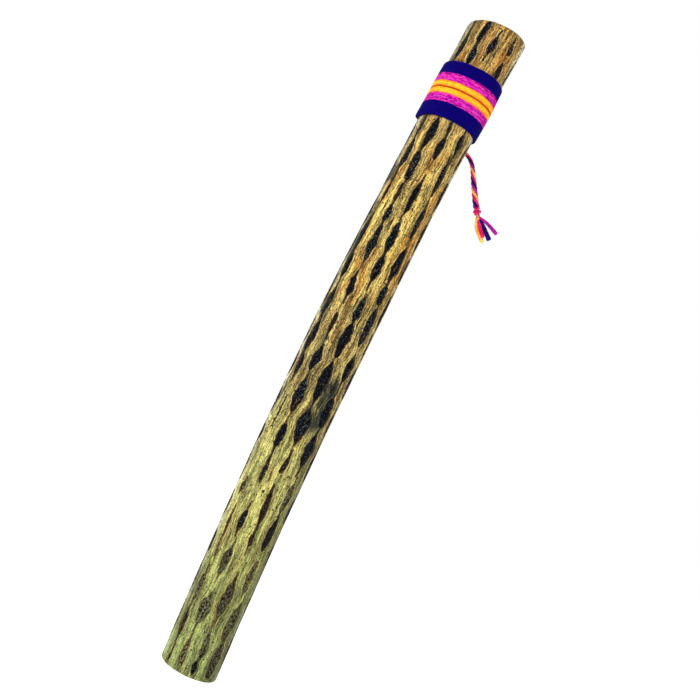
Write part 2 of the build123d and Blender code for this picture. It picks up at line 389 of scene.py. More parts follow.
def wood_tone(n, w):
    """Ground colour: green at the foot and golden above, with warm, brown and mossy patches."""
    colour = n.ramp(
        w.height, (0.03, 150, 162, 95), (0.12, 154, 161, 91), (0.20, 180, 179, 103), (0.32, 198, 192, 110),
        (0.40, 194, 181, 102), (0.50, 193, 170, 97), (0.62, 219, 191, 100), (0.72, 228, 198, 104),
        (0.84, 205, 170, 92), (0.97, 186, 148, 78),
    )
    warm = n.times(n.span(w.patches, 0.50, 0.62), n.span(w.height, 0.2, 0.55))
    colour = n.tint(warm, colour, srgb(226, 190, 144))
    colour = n.tint(n.span(w.veins, 0.54, 0.65, 0.0, 0.6), colour, srgb(204, 164, 122))
    mossy = n.times(n.span(w.veins, 0.36, 0.46, 0.7, 0.0), n.span(w.height, 0.1, 0.6, 1.0, 0.25))
    return n.tint(mossy, colour, srgb(150, 176, 130))


def paint_side_light(n, w, colour):
    """Painted light on the two sides of the front: a pale painted reflection on the left and upper right
    edges, painted shade on the lower right.
    """
    # Painted reflection: the left edge paled towards white-green, on the front half only.
    left = n.times(n.span(w.east, -0.97, -0.84, 0.95, 0.0), n.span(w.height, 0.03, 0.16, 0.1, 1.0))
    colour = n.mix(n.times(left, w.front), colour, srgb(238, 240, 200))
    # Painted reflection: the upper right edge paled towards cream, on the front half only.
    right = n.times(n.span(w.east, 0.84, 0.95), n.span(w.height, 0.56, 0.68, 0.25, 0.95))
    colour = n.mix(n.times(right, w.front), colour, srgb(250, 234, 186))
    # Painted shade: the lower right edge darkened, on the front half only.
    lower_right_shade = n.times(n.span(w.east, 0.6, 0.9), n.span(w.height, 0.3, 0.4, 1.0, 0.0))
    return n.tint(n.times(lower_right_shade, w.front), colour, srgb(184, 188, 172))


def shade_fibres(n, w, colour):
    """Light and dark fibres and grit, calmer towards the foot and where the wood is light."""
    calm = n.maths("MAXIMUM", n.span(w.height, 0.26, 0.46, 1.0, 0.0), n.span(w.broad, 0.46, 0.54, 0.0, 0.85))
    colour = n.shade(colour, 0.52, 1.06, w.broad, 0.38, 0.58)
    for pattern, deep, mild in (
        (w.streaks, ((0.2, 1.1), (0.38, 0.53)), ((0.36, 1.08), (0.35, 0.50))),
        (w.fibres, ((0.34, 1.14), (0.38, 0.55)), ((0.4, 1.12), (0.37, 0.52))),
        (w.grit, ((0.16, 1.28), (0.39, 0.55)), ((0.36, 1.16), (0.37, 0.52))),
    ):
        rough, even = (n.shade(colour, *lights, pattern, *ends) for lights, ends in (deep, mild))
        colour = n.mix(calm, rough, even)
    fleck = n.times(n.span(w.grit, 0.58, 0.64, 0.0, 0.9), n.span(calm, 0.0, 1.0, 1.0, 0.8))
    return n.mix(fleck, colour, srgb(44, 34, 18))


def darken_marks(n, w, colour, firm):
    """Fissures, pits, seams, window lips, stains with the painted shadow along the right edge, and pinholes,
    one over another.
    """
    line = n.span(n.off(w.fissures, 0.5), 0.004, 0.024, 1.0, 0.0)
    fissure = n.times(line, n.span(w.fibres, 0.44, 0.54, 0.0, 0.95))
    ragged = n.plus(w.gap, n.times(n.maths("SUBTRACT", w.grit, 0.5), 5.0))
    for amount, dark in (
        (fissure, srgb(36, 26, 14)),
        (n.span(w.pits, 0.655, 0.69, 0.0, 0.97), srgb(22, 16, 10)),
        (n.times(w.seam, n.span(w.grit, 0.38, 0.54, 0.5, 1.0)), srgb(26, 20, 12)),
        (n.times(n.span(ragged, 0.0, 0.85, 0.97, 0.0), firm), srgb(18, 14, 10)),
        # Stains, and the painted shadow along the right edge, darken towards blue-black.
        (n.times(w.stain_and_shadow, n.span(w.fibres, 0.44, 0.56, 1.0, 0.84)), srgb(9, 22, 20)),
        (w.dots, srgb(12, 8, 6)),
    ):
        colour = n.mix(amount, colour, dark)
    return colour


def cactus_wood():
    """Lacquered wood: gritty khaki fibres and dark fissures along the tube, greener towards the foot."""
    n = new_material("cactus_wood")
    w = wood_patterns(n)
    colour = paint_side_light(n, w, wood_tone(n, w))
    firm = n.span(w.height, 0.10, 0.26, 0.5, 1.0)
    near_window = n.times(n.span(w.gap, 0.2, 4.0, 1.0, 0.0), w.halo)
    colour = n.tint(near_window, colour, srgb(172, 146, 108))
    # Painted highlight: a pale line along the raised rim round each window, weaker at the foot.
    rim_highlight = n.span(n.off(w.gap, 1.3), 0.1, 0.8, 0.6, 0.0)
    colour = n.mix(n.times(rim_highlight, firm), colour, srgb(226, 206, 126))
    colour = darken_marks(n, w, shade_fibres(n, w, colour), firm)
    end_wood = n.ramp(w.rays, (0.3, 96, 66, 36), (0.55, 160, 122, 76), (0.75, 196, 160, 108))
    colour = n.mix(w.cut, colour, end_wood)
    normal = n.bump(n.plus(w.streaks, n.times(w.fibres, 0.6)), 0.5)
    normal = n.bump(w.grit, 0.22, 0.8, normal)
    return n.finish(
        Base_Color=colour, Roughness=n.span(w.streaks, 0.36, 0.6, 0.62, 0.42), Normal=normal,
        Specular_IOR_Level=0.14, Coat_Weight=n.span(w.cut, 0.0, 1.0, 0.05, 0.01), Coat_Roughness=0.22,
        Coat_IOR=1.4,
    )


def dried_flesh():
    """Blackened, crumbled, lacquered pith: its tone differs from window to window."""
    n = new_material("dried_pith")
    place = n.place(z=0.55)
    tone = n.value("tone", "Color")
    brown, pale, odd = (n.split(tone, channel) for channel in range(3))
    crumbs = n.noise(place, 0.75, 4.0, 0.7)
    grit = n.noise(place, 1.5, 3.0, 0.65)
    black = n.ramp(crumbs, (0.38, 2, 3, 6), (0.52, 5, 8, 13), (0.64, 22, 28, 36))
    bark = n.ramp(crumbs, (0.36, 20, 12, 8), (0.5, 66, 46, 26), (0.64, 124, 96, 56))
    mould = n.ramp(crumbs, (0.42, 14, 15, 12), (0.5, 86, 84, 56), (0.61, 150, 146, 98))
    colour = n.mix(pale, n.mix(brown, black, bark), mould)
    # Painted highlight: light grey glints on the crumbs, stronger on some windows than on others.
    painted_glint = n.times(n.span(grit, 0.60, 0.65), n.span(odd, 0.0, 1.0, 0.25, 0.95))
    colour = n.mix(painted_glint, colour, srgb(120, 136, 140))
    rust = n.times(n.span(n.noise(place, 0.2), 0.6, 0.68), 0.7)
    colour = n.mix(rust, colour, bark)
    normal = n.bump(grit, 0.35, 0.9, n.bump(crumbs, 1.1))
    return n.finish(
        Base_Color=colour, Roughness=n.span(crumbs, 0.36, 0.64, 0.7, 0.42), Normal=normal,
        Specular_IOR_Level=0.03, Coat_Weight=0.02, Coat_Roughness=0.15,
    )


def woven_cloth():
    """Warp-faced sash: each yarn carries its own colour, brushed to a fuzzy face."""
    n = new_material("woven_sash")
    place = n.value("yarn_place", "Vector")
    fibres = n.noise(n.stretch(place, 0.6, 1.6, 1.0), detail=4.0, rough=0.7)
    floats = n.noise(n.stretch(place, 0.22, 0.9, 1.0))
    colour = n.shade(n.value("yarn", "Color"), 0.7, 1.25, fibres, 0.36, 0.64)
    colour = n.shade(colour, 0.82, 1.14, floats)
    return n.finish(
        Base_Color=colour, Roughness=0.9, Normal=n.bump(fibres, 0.35), Sheen_Weight=0.01,
        Sheen_Roughness=0.5, Specular_IOR_Level=0.02,
    )


def spun_yarn(name, dark, light):
    """Twisted yarn: fine fibres wound at a slant round each ply."""
    n = new_material(name)
    ply = n.value("ply", "Vector")
    fibres = n.noise(n.stretch(ply, 2.2, 2.2, 0.5), detail=3.0)
    tone = n.noise(n.stretch(ply, 0.35, 0.35, 0.12))
    colour = n.mix(n.span(fibres, 0.36, 0.64), dark, light)
    colour = n.shade(colour, 0.85, 1.12, tone)
    return n.finish(
        Base_Color=colour, Roughness=0.8, Normal=n.bump(fibres, 0.16), Sheen_Weight=0.06,
        Sheen_Roughness=0.4, Specular_IOR_Level=0.1,
    )


def thorn_horn():
    """Dark, horny thorn with brown specks."""
    n = new_material("thorn")
    speck = n.noise(n.place(), 1.6, 3.0)
    colour = n.ramp(speck, (0.35, 18, 10, 6), (0.6, 52, 30, 16), (0.8, 96, 62, 34))
    return n.finish(
        Base_Color=colour, Roughness=n.span(speck, 0.3, 0.7, 0.35, 0.6), Normal=n.bump(speck, 0.1),
        Coat_Weight=0.3, Coat_Roughness=0.2,
    )


def river_stone():
    """Small river stones: a few tones, speckled and matt."""
    n = new_material("pebble")
    speck = n.noise(n.place(), 2.2, 4.0, 0.7)
    tones = ((0.0, 78, 74, 70), (0.4, 122, 108, 92), (0.7, 150, 136, 118), (1.0, 96, 72, 58))
    colour = n.shade(n.ramp(n.value("tint"), *tones), 0.6, 1.25, speck)
    rough = n.span(speck, 0.3, 0.7, 0.6, 0.85)
    return n.finish(Base_Color=colour, Roughness=rough, Normal=n.bump(speck, 0.12))


def sawn_disc():
    """End grain of the wooden discs: rings, rays and saw marks."""
    n = new_material("plug_wood")
    place = n.place()
    shifted = n.add("ShaderNodeVectorMath", {0: place, 1: (14.0, 6.0, 0.0)}, operation="ADD")
    away = n.add("ShaderNodeVectorMath", {0: n.stretch(shifted, 1.0, 1.0, 0.0)}, "Value", operation="LENGTH")
    wobble = n.times(n.noise(place, 0.12), 5.0)
    rings = n.maths("SINE", n.times(n.plus(away, wobble), 2.4))
    fleck = n.noise(place, 3.0, 3.0)
    colour = n.mix(n.span(rings, -1.0, 1.0), srgb(198, 160, 108), srgb(158, 116, 70))
    colour = n.shade(colour, 0.82, 1.1, fleck)
    saw = n.maths("SINE", n.times(n.axis(place, 0), 4.2))
    relief = n.plus(n.times(saw, 0.3), fleck)
    return n.finish(Base_Color=colour, Roughness=0.72, Normal=n.bump(relief, 0.12))


def dried_glue():
    """Clouded amber glue, glossy in places."""
    n = new_material("dried_glue")
    cloud = n.noise(n.place(), 0.5, 3.0)
    colour = n.mix(n.span(cloud, 0.3, 0.7), srgb(176, 138, 78), srgb(214, 190, 132))
    return n.finish(
        Base_Color=colour, Roughness=n.span(cloud, 0.3, 0.7, 0.22, 0.5), Normal=n.bump(cloud, 0.3),
        Coat_Weight=0.3, Coat_Roughness=0.15,
    )


# ---- windows
def find_windows():
    """Each window of the wall, from the pith plug that fills it: its place, half sizes and character."""
    found = []
    for points in islands("dried_pith"):
        east = points[:, 0] - centre_x(points[:, 2])
        low_z, high_z = points[:, 2].min(), points[:, 2].max()
        middle = points.mean(0)
        bearing = math.atan2(middle[0] - centre_x(middle[2]), -middle[1])
        across = east * math.cos(bearing) + points[:, 1] * math.sin(bearing)
        found.append(SimpleNamespace(
            bearing=bearing, z=(high_z + low_z) / 2,
            half_w=(across.max() - across.min()) / 2 * WINDOW_OVER_PITH,
            half_h=(high_z - low_z) / 2 * WINDOW_OVER_PITH,
        ))
    found.sort(key=lambda window: (round(math.degrees(window.bearing) / 30), -window.z))
    rng = np.random.default_rng(41)
    for window in found:
        set_character(window, rng)
    return found


def set_character(window, rng):
    """Draw a window's tone, depth and outline: narrow ones are browner, and those at the foot mouldier."""
    narrow = smooth((5.2 - 2 * window.half_w) / 1.4)
    low = smooth((205 - window.z) / 60)
    foot = smooth((125 - window.z) / 40)
    brown = narrow * 0.25 + low * rng.uniform(0, 0.3) + (rng.random() < 0.1) * 0.4 * low
    window.brown = min(brown, 1.0)
    mouldy = rng.random() < 0.02 + 0.1 * low + 0.72 * foot
    window.pale = rng.uniform(0.3, 0.85) if mouldy else 0.0
    window.odd = rng.random()  # how much its crumbs glint
    window.inset = 0.5 + 0.9 * rng.random() * (1 - narrow) - 0.4 * mouldy
    window.halo = 0.25 + 0.75 * rng.random()  # strength of the rusty wood round it
    window.lean = rng.uniform(-0.9, 0.9)  # how far its ends stray sideways
    window.blunt = rng.uniform(0.4, 0.85)  # pointed ends to round ends
    window.tails = rng.uniform(2, 10, 2) * (rng.random(2) < 0.75)  # cracks above and below it
    window.seed = rng.integers(1, 10000)


def outline(window, z):
    """Half width of a window, and how far its middle line strays, at heights z."""
    t = (z - window.z) / window.half_h
    full = np.clip(1 - t ** 2, 0, None) ** window.blunt
    ragged = 0.94 + 0.1 * smooth((2 * window.half_w - 5) / 3)
    for bearing, along, strength in ((0.0, 5.5, 0.34), (0.5, 1.9, 0.26)):
        ragged = ragged + strength * waver(bearing, z, 4, along, window.seed)
    stray = noise2(1.0, z, 4, 9, window.seed) + 0.55 * noise2(2.0, z, 4, 2.6, window.seed) - 0.775
    return window.half_w * full * ragged, window.lean * t + stray


# ---- wall
CELL = 0.72  # size of the wall's mesh cells
COLUMNS = int(TAU * TUBE_R / CELL)
END_ROUNDING = 2.0
PIT_DEPTH = 3.2  # how far the wall falls away inside a window
PITH_CELL = 0.75
PITH_BELOW_RIM = 1.4
LONGEST_SEAM = 60
INNER_GRAIN = np.array([1, 1, 0.1])  # the bore's grain is drawn out along the tube

# Small knots and pinholes on the front: height, bearing in degrees, radius.
PINHOLES = [(421, -45, 0.7), (408, 26.7, 0.6), (403, 26.7, 0.7), (407.5, -10, 0.6), (348, 7.8, 0.7),
            (337.5, -11, 0.6), (289, -5.5, 0.8), (201, 11.7, 0.7), (161, -4.4, 1.3), (102.5, 23, 0.8),
            (70.5, -8, 0.7), (35, 16, 0.7), (75.5, 14, 0.6), (492.5, -37, 0.6), (439, 24, 0.5),
            (180, 31, 0.5)]


def window_distance(window, across, half, up):
    """Distance to a window's edge and the cracks at its two ends, negative inside."""
    height = up[:, None]
    beyond = np.abs(height - window.z) - window.half_h
    side = np.abs(across) - half
    slope = np.gradient(half[:, 0], up)[:, None]
    steep = 1 / np.sqrt(1 + np.clip(slope, -1.5, 1.5) ** 2)
    near = steep + (1 - steep) * smooth(side / 2)
    distance = np.where(beyond > 0, np.hypot(np.clip(beyond, 0, None), across), side * near)
    for tail, sign in zip(window.tails, (1, -1)):
        if tail > 0:
            past = (height - window.z) * sign - window.half_h
            crack = np.abs(across) - 0.5 * np.sqrt(np.clip(1 - past / tail, 0, 1))
            on_tail = (past > -2) & (past < tail)
            distance = np.where(on_tail, np.minimum(distance, crack), distance)
    return distance


def mark_windows(windows, bearing, up):
    """Each point's distance to a window, its halo, how the grain parts there, and the slide to the edge."""
    shape = (len(up), COLUMNS)
    gap = np.full(shape, 12.0)
    halo, shift, slide = np.zeros(shape), np.zeros(shape), np.zeros(shape)
    reach = 14
    for window in windows:
        rows = np.where(np.abs(up - window.z) < window.half_h + reach)[0]
        around = int((window.half_w + reach) / CELL)
        middle = int(round((window.bearing + math.pi) / TAU * COLUMNS))
        columns = np.arange(middle - around, middle + around + 1) % COLUMNS
        pick = np.ix_(rows, columns)
        half, stray = outline(window, up[rows][:, None])
        across = wrap(bearing[columns] - window.bearing)[None, :] * TUBE_R - stray
        distance = window_distance(window, across, half, up[rows])
        closer = distance < gap[pick]
        gap[pick] = np.where(closer, distance, gap[pick])
        halo[pick] = np.where(closer, window.halo, halo[pick])
        # Points within half a cell of the edge slide onto it, and the grain parts round the window.
        side = np.abs(across) - half
        level = np.abs(up[rows] - window.z)[:, None] < window.half_h
        snap = np.where((np.abs(side) < 0.48 * CELL) & level, -side * np.sign(across), 0.0)
        slide[pick] = np.where(closer, snap, slide[pick])
        spread = 0.55 * half * np.exp(-np.clip(side, 0, None) / (1.6 + 0.6 * window.half_w))
        shift[pick] += np.sign(across) * spread
    return np.where(slide != 0, 0.0, gap), halo, shift, slide


def mark_seams(windows, bearing, z, up):
    """Dark seams that join a window to the next one below it in the same column."""
    seam = np.zeros(z.shape)
    for upper, lower in zip(windows, windows[1:]):
        top, bottom = upper.z - upper.half_h, lower.z + lower.half_h
        if not 0 < top - bottom < LONGEST_SEAM:
            continue
        rows = np.where((up < top + 5) & (up > bottom - 5))[0]
        share = np.clip((top - up[rows]) / (top - bottom), 0, 1)[:, None]
        middle = upper.bearing + wrap(lower.bearing - upper.bearing) * share
        sway = 1.3 * waver(0.0, up[rows], 4, 11, upper.seed)[:, None]
        across = wrap(bearing[rows] - middle) * TUBE_R - sway
        width = 0.45 + 1.5 * noise2(bearing[rows], z[rows], 60, 6, upper.seed + 3)
        rare = 0.18 + 0.3 * smooth((220 - up[rows]) / 60)
        faint = smooth((noise2(0.3, up[rows], 4, 13, upper.seed + 4) - rare) / 0.3)[:, None]
        seam[rows] = np.maximum(seam[rows], bell(across / width) * faint)
    return seam


def mark_pinholes(bearing, z):
    """1 in each pinhole, with a soft edge."""
    dots = np.zeros(z.shape)
    for height, degrees, radius in PINHOLES:
        away = np.hypot(wrap(bearing - math.radians(degrees)) * TUBE_R, z - height)
        dots = np.maximum(dots, smooth((radius + 0.45 - away) / 0.7))
    return dots


def mark_stains_and_shadow(bearing, flow, z):
    """A blue-black spot at the front, a painted shadow along the right edge, a soiled left side and faint
    clouds all round.
    """
    degrees = np.degrees(bearing)
    spot = np.clip(1.5 * bell((z - 245) / 24, 4) * bell((degrees - 31) / 15, 4), 0, 1)
    spot *= smooth(noise2(flow, z, 90, 16, 8) * 4)
    clouds = smooth((noise2(bearing, z, 9, 38, 9) - 0.74) / 0.2) * 0.35
    soiled = bell((degrees + 60) / 11) * smooth((noise2(flow, z, 44, 18, 12) - 0.46) / 0.16) * 0.97
    soiled *= 0.25 + 0.75 * smooth((z - 240) / 60)
    # Painted shadow: a thin dark line along the right edge, broken up and only at some heights.
    shadow = bell((degrees - 89) / 8) * smooth((noise2(flow, z, 30, 60, 13) - 0.3) / 0.3) * 0.85
    shadow *= np.interp(z, [60, 90, 170, 200, 320, 350], [1, 0.3, 0.6, 1, 1, 0])
    return np.maximum.reduce([spot, clouds, soiled, shadow])


def wall_radius(bearing, flow, z, gap, seam, dots):
    """Outer radius of the wall with its raised window rims, grain, seams, pinholes and rounded ends."""
    outside = np.clip(gap, 0, None)
    radius = surface_r(bearing, z)
    radius += 0.25 * np.exp(-outside / 3.5) - 0.3 * np.exp(-outside / 0.45)
    radius += 0.26 * waver(flow, z, 110, 26, 5) + 0.16 * waver(flow, z, 220, 10, 6)
    radius -= 0.3 * seam + 0.6 * dots
    inside = np.clip(-gap, 0, None)
    radius -= PIT_DEPTH * (1 - bell(inside / 0.42, 1.5))
    to_end = np.minimum(z, LENGTH - z)
    short = np.clip(1 - to_end / END_ROUNDING, 0, 1)
    return radius - END_ROUNDING * (1 - np.sqrt(1 - short ** 2))


def inner_rings(turn, lift, upper_radius, lower_radius):
    """Rings over the upper sawn face, down the bore and over the lower sawn face."""
    inward = np.linspace(0, 1, 7)[1:]
    top = [(upper_radius * (1 - f) + BORE_R * f, (LENGTH - 0.15 * math.sin(3 * f)) * lift) for f in inward]
    heights = np.linspace(LENGTH - 1.0, 1.0, 22)
    bore = [(BORE_R, height * (lift if height > LENGTH / 2 else 1)) for height in heights]
    bottom = [(lower_radius * (1 - f) + BORE_R * f, 0.0) for f in inward[::-1]]
    return np.stack([on_tube(turn, level, radius) for radius, level in top + bore + bottom])


def build_shell(windows, material):
    """The wall: windows, cracks, seams, pinholes and grain outside, and the bore inside."""
    edge = np.array([0, 0.12, 0.35, 0.7, 1.15, 1.7])
    up = np.concatenate([edge, np.arange(2.3, LENGTH - 2.3, CELL), LENGTH - edge[::-1]])
    turn = np.linspace(-math.pi, math.pi, COLUMNS, endpoint=False)
    bearing, z = np.meshgrid(turn, up)

    gap, halo, shift, slide = mark_windows(windows, turn, up)
    seam = mark_seams(windows, bearing, z, up)
    dots = mark_pinholes(bearing, z)
    flow = bearing - shift / TUBE_R
    stain_and_shadow = mark_stains_and_shadow(bearing, flow, z)
    radius = wall_radius(bearing, flow, z, gap, seam, dots)
    bearing_moved = bearing + slide / TUBE_R
    lift = 1 + rim_rise(bearing_moved) / LENGTH
    outer = on_tube(bearing_moved, z * lift, radius)
    inner = inner_rings(turn, lift[0], radius[-1], radius[0])

    grain = np.stack([TUBE_R * np.cos(flow), TUBE_R * np.sin(flow), z], -1)
    marks = np.stack([gap, halo, stain_and_shadow, np.ones(z.shape)], -1)
    unmarked = np.broadcast_to([9.0, 0, 0, 1], inner.shape[:2] + (4,))
    blank = np.zeros(inner.shape[:2])
    cut_outer = smooth((0.5 - np.minimum(up, LENGTH - up)) / 0.5)
    cut = np.concatenate([cut_outer, np.ones(len(inner))])
    shell = Piece("cactus_tube")
    shell.loft(
        np.concatenate([outer, inner]), closed=True,
        grain=np.concatenate([grain, inner * INNER_GRAIN]),
        marks=np.concatenate([marks, unmarked]),
        seam=np.concatenate([seam, blank])[..., None],
        dots=np.concatenate([dots, blank])[..., None],
        cut=cut[:, None, None],
    )
    shell.build(material, "stick", "cactus_shell")


def build_pith(windows, material):
    """Crumbled plugs, one for each window, a little below the surface."""
    piece = Piece("dried_pith_plugs")
    for window in windows:
        rows = max(10, int(2 * window.half_h / PITH_CELL))
        rim = LENGTH + rim_rise(window.bearing) - PITH_BELOW_RIM
        t = np.linspace(-0.985, min(0.985, (rim - window.z) / window.half_h), rows)
        z = window.z + t * window.half_h
        half, stray = outline(window, z)
        half = np.maximum(half * 1.04 + 0.2, 0.35)
        u = np.linspace(-1, 1, max(7, int(2 * window.half_w / (0.8 * PITH_CELL))))
        bearing = window.bearing + (stray[:, None] + half[:, None] * u) / TUBE_R
        height = np.broadcast_to(z[:, None], bearing.shape)
        lumps = waver(bearing, height, 75, 2.9, window.seed + 1)
        fine = waver(bearing, height, 190, 1.3, window.seed + 2)
        sunk = window.inset + 0.5 * (1 - u ** 4) * (1 - np.abs(t[:, None]) ** 3)
        radius = surface_r(bearing, height) - sunk + 1.15 * lumps + 0.5 * fine
        front = on_tube(bearing, height, radius)
        back = on_tube(bearing, height, BORE_R + 0.4)[:, ::-1]
        tone = (window.brown, window.pale, window.odd, 1.0)
        piece.loft(np.concatenate([front, back], axis=1), tone=tone)
    piece.build(material, "stick", "dried_pith")


# ---- thorns, stones and discs
THORN_STEPS = np.array([0, 0.004, 0.012, 0.05, 0.2, 0.4, 0.6, 0.8, 0.93, 1.0])
THORN_TAPER = np.array([0.55, 0.9, 1, 1, 0.9, 0.78, 0.62, 0.42, 0.22, 0.05])


def build_thorns(row, material):
    """Thorns of one row: cut heads at the surface, tapering and a little bent towards the middle."""
    node = f"thorn_row_{row:02d}"
    piece = Piece(f"thorns_{row:02d}")
    rng = np.random.default_rng(100 + row)
    for points in islands(node):
        z = points[:, 2].mean()
        axis = np.array([centre_x(z), 0.0, z])
        far = np.linalg.norm(points - axis, axis=1)
        head = points[far > far.max() - 0.5].mean(0)
        tip = points[np.argmin((points - axis) @ (head - axis))]
        outward = unit(head - axis)
        bearing = math.atan2(outward[0], -outward[1])
        start = axis + outward * (surface_r(bearing, head[2]) + 0.1)
        path = start + (tip - start) * THORN_STEPS[:, None]
        path[:, 2] += 0.25 * np.sin(THORN_STEPS * math.pi) * rng.uniform(-1, 1)
        piece.loft(straight_tube(path, rng.uniform(0.5, 0.72) * THORN_TAPER, 10))
    piece.build(material, "stick", node)


def ball(rows, cols):
    """Points on a ball of radius 1, open by a pinhole at its poles."""
    polar = np.linspace(0.06, math.pi - 0.06, rows)[:, None]
    turn = circle(cols)
    x, y = np.sin(polar) * np.cos(turn), np.sin(polar) * np.sin(turn)
    return np.stack(np.broadcast_arrays(x, y, np.cos(polar)), -1)


def build_stones(letter, material):
    """Worn, uneven stones in the places of one group of CAD stones."""
    node = f"pebbles_{letter}"
    piece = Piece(f"stones_{letter}")
    rng = np.random.default_rng(ord(letter))
    round_stone = ball(12, 16)
    for points in islands(node):
        middle = (points.max(0) + points.min(0)) / 2
        radius = (points[:, 2].max() - points[:, 2].min()) / 2
        waves = rng.normal(size=(5, 3)) * 1.4
        phases = rng.uniform(0, TAU, 5)
        bumps = np.sin(round_stone @ waves.T + phases).sum(-1) / 5
        squeeze = np.array([rng.uniform(0.8, 0.97), rng.uniform(0.8, 0.97), rng.uniform(0.72, 0.95)])
        rings = middle + round_stone * squeeze * (radius * (0.93 + 0.07 * bumps))[..., None]
        piece.loft(rings, tint=[rng.random()])
    piece.build(material, node, node)


def build_disc(node, material, seed):
    """Sawn wooden disc with a worn edge."""
    low, high = box_mm(node)
    radius = (high[1] - low[1]) / 2
    face = [(0.4, 0), (6, 0), (12, 0), (radius - 1.2, 0), (radius - 0.4, 0.15), (radius, 0.7)]
    profile = [(r, low[2] + worn) for r, worn in face]
    profile += [(radius, (low[2] + high[2]) / 2)]
    profile += [(r, high[2] - worn) for r, worn in face[::-1]]
    turn = circle(96)
    rings = [on_tube(turn, z, r * (1 - 0.004 * noise2(turn, z, 24, 3, seed))) for r, z in profile]
    piece = Piece(node.replace("plug", "disc"))
    piece.loft(np.stack(rings))
    piece.build(material, "stick", node)


def build_glue(node, material, seed):
    """Uneven ring of dried glue between disc and bore, with a bead at both faces."""
    low, high = box_mm(node)
    outer = (high[1] - low[1]) / 2
    inner = outer - 0.8
    turn = circle(160)
    bead = 0.35 + 0.45 * noise2(turn, 0.0, 30, 5, seed)
    # Section: radius, depth below the upper face, share of the bead's height.
    upper = [(outer, 0.2, 0), (outer - 0.1, 0, 0.5), (inner - 0.3, -0.02, 1), (inner - 0.9, 0.05, 0.3),
             (inner, 0.4, 0)]
    section = [(outer, low[2] + 0.2, 0)]
    section += [(r, high[2] - depth, share) for r, depth, share in upper]
    section += [(r, low[2] + depth, -share) for r, depth, share in upper[:0:-1]]
    rings = [on_tube(turn, z + share * bead * 0.6, r) for r, z, share in section]
    piece = Piece(node)
    piece.loft(np.stack(rings), closed=True)
    piece.build(material, "stick", node)


# ---- sash
NAVY = srgb(10, 0, 98)
NAVY_DARK = srgb(4, 0, 78)
MAGENTA = srgb(178, 10, 144)
VIOLET = srgb(206, 60, 178)
PLUM = srgb(126, 4, 112)
HOT_PINK = srgb(226, 60, 160)
YELLOW = srgb(252, 174, 42)
AMBER = srgb(246, 138, 32)
RUST = srgb(168, 56, 14)
RED = srgb(236, 96, 60)

# Stripes of the sash from its upper edge down: depth at which each ends (mm), and its yarn colours.
STRIPES = [
    (11.6, [NAVY, NAVY_DARK, NAVY, NAVY_DARK]),
    (18.4, [MAGENTA, VIOLET, MAGENTA, PLUM, HOT_PINK, MAGENTA]),
    (19.2, [RED]),
    (23.5, [YELLOW, YELLOW, AMBER, YELLOW]),
    (25.2, [RUST]),
    (29.6, [YELLOW, AMBER, YELLOW, YELLOW]),
    (30.4, [RED]),
    (37.6, [MAGENTA, PLUM, VIOLET, MAGENTA, PLUM, HOT_PINK]),
    (99.0, [NAVY_DARK, NAVY, NAVY_DARK, NAVY]),
]

SASH_THICK = 2.3
SASH_BACK = 0.12  # room between the sash and the wood
SASH_YARN = 0.92  # width of one yarn
SASH_FLOAT = 1.9  # length of one float of a yarn


def yarn_colours(depth, number):
    """Colour of the yarn at each depth below the upper edge."""
    ends = np.array([end for end, _ in STRIPES])
    stripe = np.searchsorted(ends, depth, side="right")
    colour = np.zeros(depth.shape + (4,))
    for index, (_, colours) in enumerate(STRIPES):
        choice = np.array(colours)[number.astype(int) % len(colours)]
        colour = np.where((stripe == index)[..., None], choice, colour)
    return colour


def sash_section(z_low, z_high):
    """Section of the sash: heights and distances from the wood, and 1 at the outside or 0 at the back."""
    flat = np.arange(z_low + 1.0, z_high - 1.0, SASH_YARN / 4)
    bend = np.linspace(0, math.pi / 2, 7)
    edge_low = [(z_low + 1.0 - math.sin(b), SASH_THICK - 1.0 + math.cos(b)) for b in bend[::-1]]
    edge_high = [(z_high - 1.0 + math.sin(b), SASH_THICK - 1.0 + math.cos(b)) for b in bend]
    face = [(z, SASH_THICK) for z in flat]
    back = [(z, SASH_BACK) for z in np.linspace(z_high - 0.2, z_low + 0.2, 12)]
    front = edge_low + face + edge_high
    outside = np.array([1.0] * len(front) + [0.0] * len(back))
    return np.array(front + back), outside[:, None]


